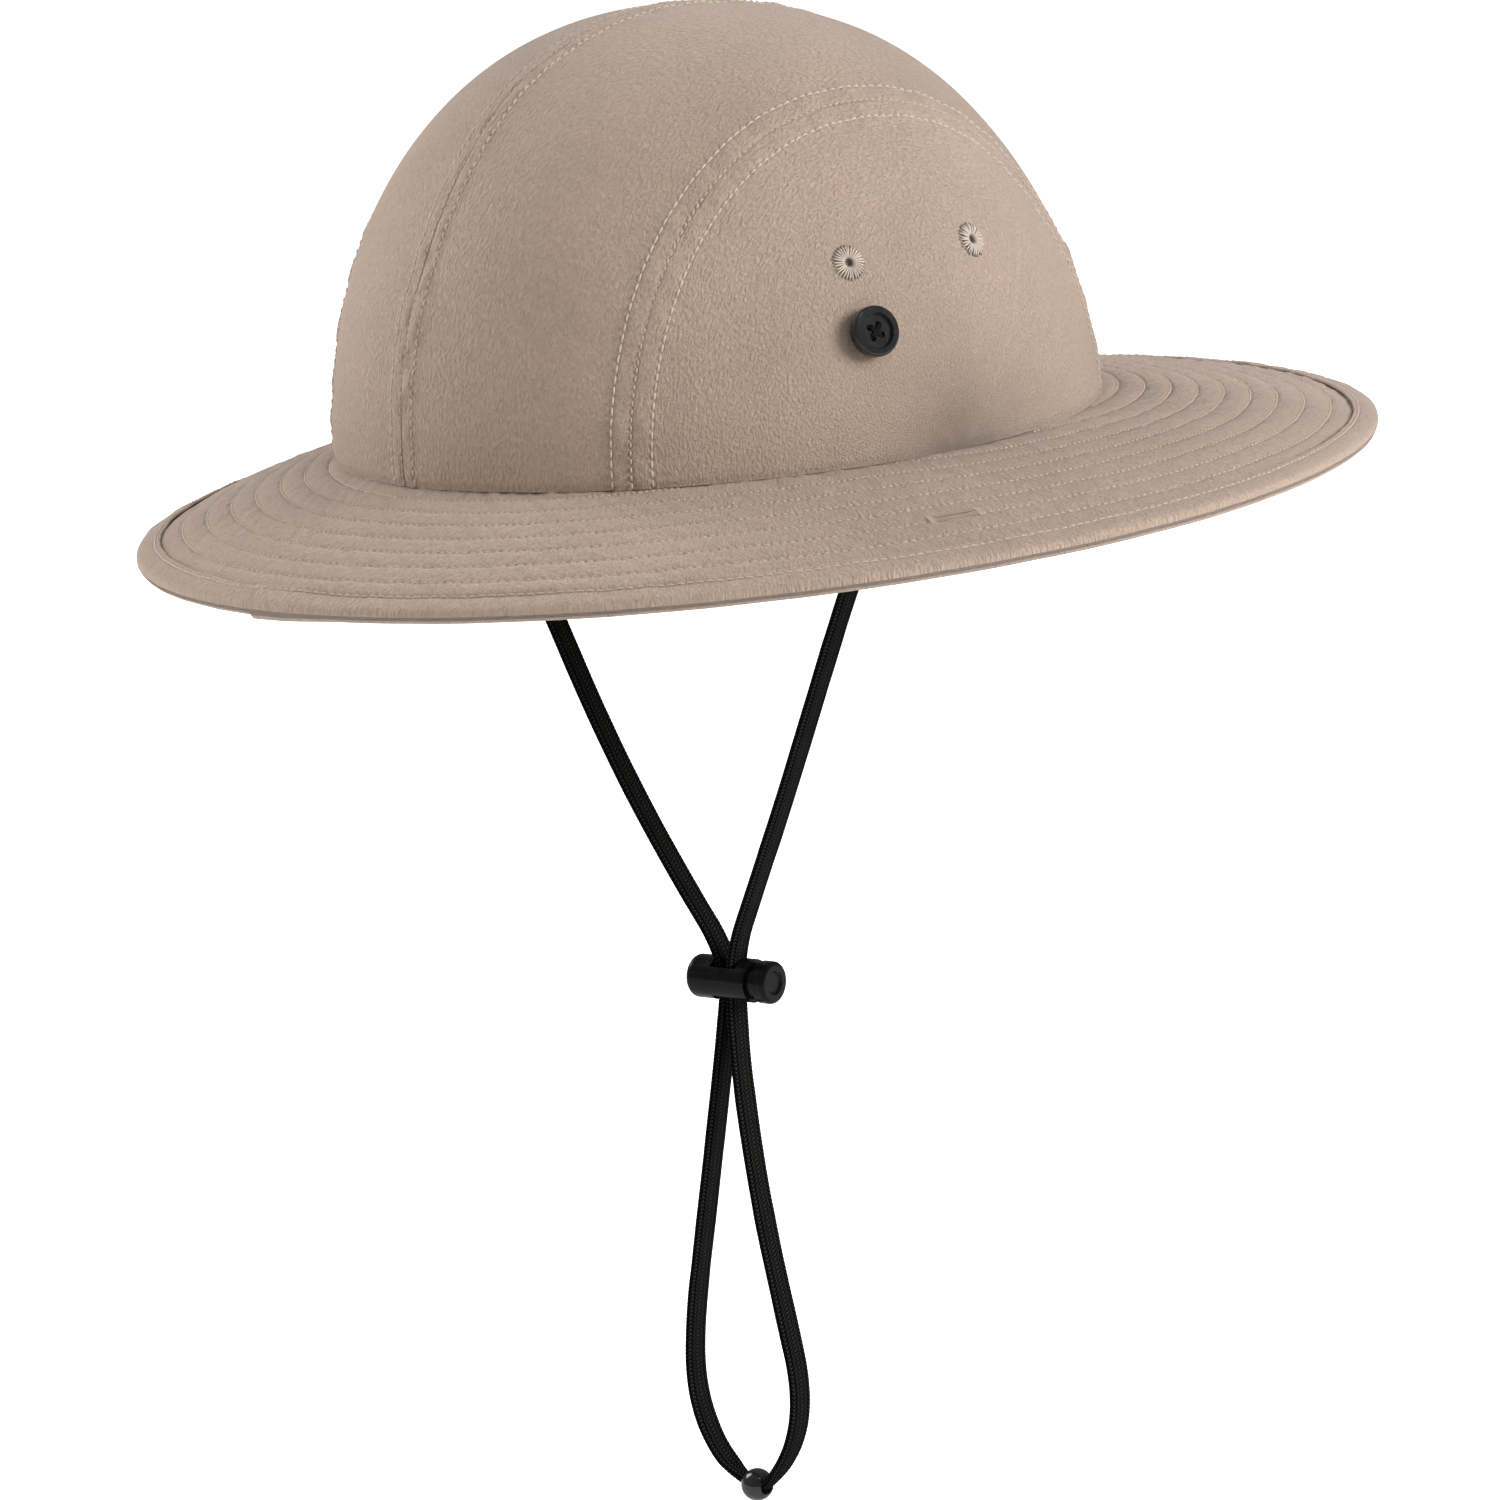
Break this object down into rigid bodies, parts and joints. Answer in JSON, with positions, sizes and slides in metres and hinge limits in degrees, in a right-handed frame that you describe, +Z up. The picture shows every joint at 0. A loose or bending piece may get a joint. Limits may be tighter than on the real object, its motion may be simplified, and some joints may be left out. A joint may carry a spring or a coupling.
{
  "type": "boonie hat",
  "caption": "Wide-brim sun hat with a panelled crown, row-stitched brim, vent eyelets, side buttons and a chin cord with a spring cord lock and a bead.",
  "frame": {"origin": "Centre of the head opening, on the seam line between crown and brim.", "axes": "+Z up out of the crown, -Y the front of the hat, +X the wearer's left."},
  "size_m": [0.27, 0.328, 0.3717],
  "materials": {
    "shell_fabric": "matt crepe-textured nylon",
    "lining_fabric": "matt plain weave",
    "interlining": "matt needled felt",
    "thread": "satin sewing thread",
    "black_thread": "satin sewing thread",
    "black_plastic": "satin moulded",
    "black_cord": "flat braided polyester",
    "spring_steel": "plated wire"
  },
  "bodies": {
    "hat": {"brim_edge_binding": "shell_fabric", "brim_interlining": "interlining", "brim_top_fabric": "shell_fabric", "brim_under_fabric": "shell_fabric", "button_thread_left": "black_thread", "button_thread_right": "black_thread", "buttonhole_stitching_left": "thread", "buttonhole_stitching_right": "thread", "cord_bartack_left": "black_thread", "cord_bartack_right": "black_thread", "cord_end_left": "black_cord", "cord_end_right": "black_cord", "crown_seam_tape_centre": "lining_fabric", "crown_seam_tape_left": "lining_fabric", "crown_seam_tape_right": "lining_fabric", "crown_side_panel_left": "shell_fabric", "crown_side_panel_right": "shell_fabric", "crown_top_panel_left": "shell_fabric", "crown_top_panel_right": "shell_fabric", "side_button_left": "black_plastic", "side_button_right": "black_plastic", "sweatband": "lining_fabric", "vent_eyelet_left_front": "thread", "vent_eyelet_left_rear": "thread", "vent_eyelet_right_front": "thread", "vent_eyelet_right_rear": "thread"},
    "chin_strap": {"chin_cord_left": "black_cord", "chin_cord_right": "black_cord", "chin_cord_loop": "black_cord", "chin_cord_bead": "black_plastic"},
    "cord_lock": {"cord_lock_barrel": "black_plastic", "cord_lock_spring": "spring_steel"},
    "lock_plunger": {"cord_lock_plunger": "black_plastic"}
  },
  "joints": [
    {"name": "chin_strap_swing", "type": "hinge", "parent": "hat", "child": "chin_strap", "pos_m": [0.0789, -0.02, 0], "axis": [0.998, -0.0626, 0], "range_deg": [-70, 70], "deforming": ["chin_cord_left", "chin_cord_right"]},
    {"name": "cord_lock_slide", "type": "slide", "parent": "chin_strap", "child": "cord_lock", "axis": [0, 0, 1], "range_m": [-0.095, 0.06], "deforming": ["chin_cord_loop"]},
    {"name": "lock_plunger_press", "type": "slide", "parent": "cord_lock", "child": "lock_plunger", "axis": [0.9781, 0.2079, 0], "range_m": [-0.0024, 0], "stiffness_N_per_m": 1200, "springref_m": 0.001, "deforming": ["cord_lock_spring"]}
  ]
}
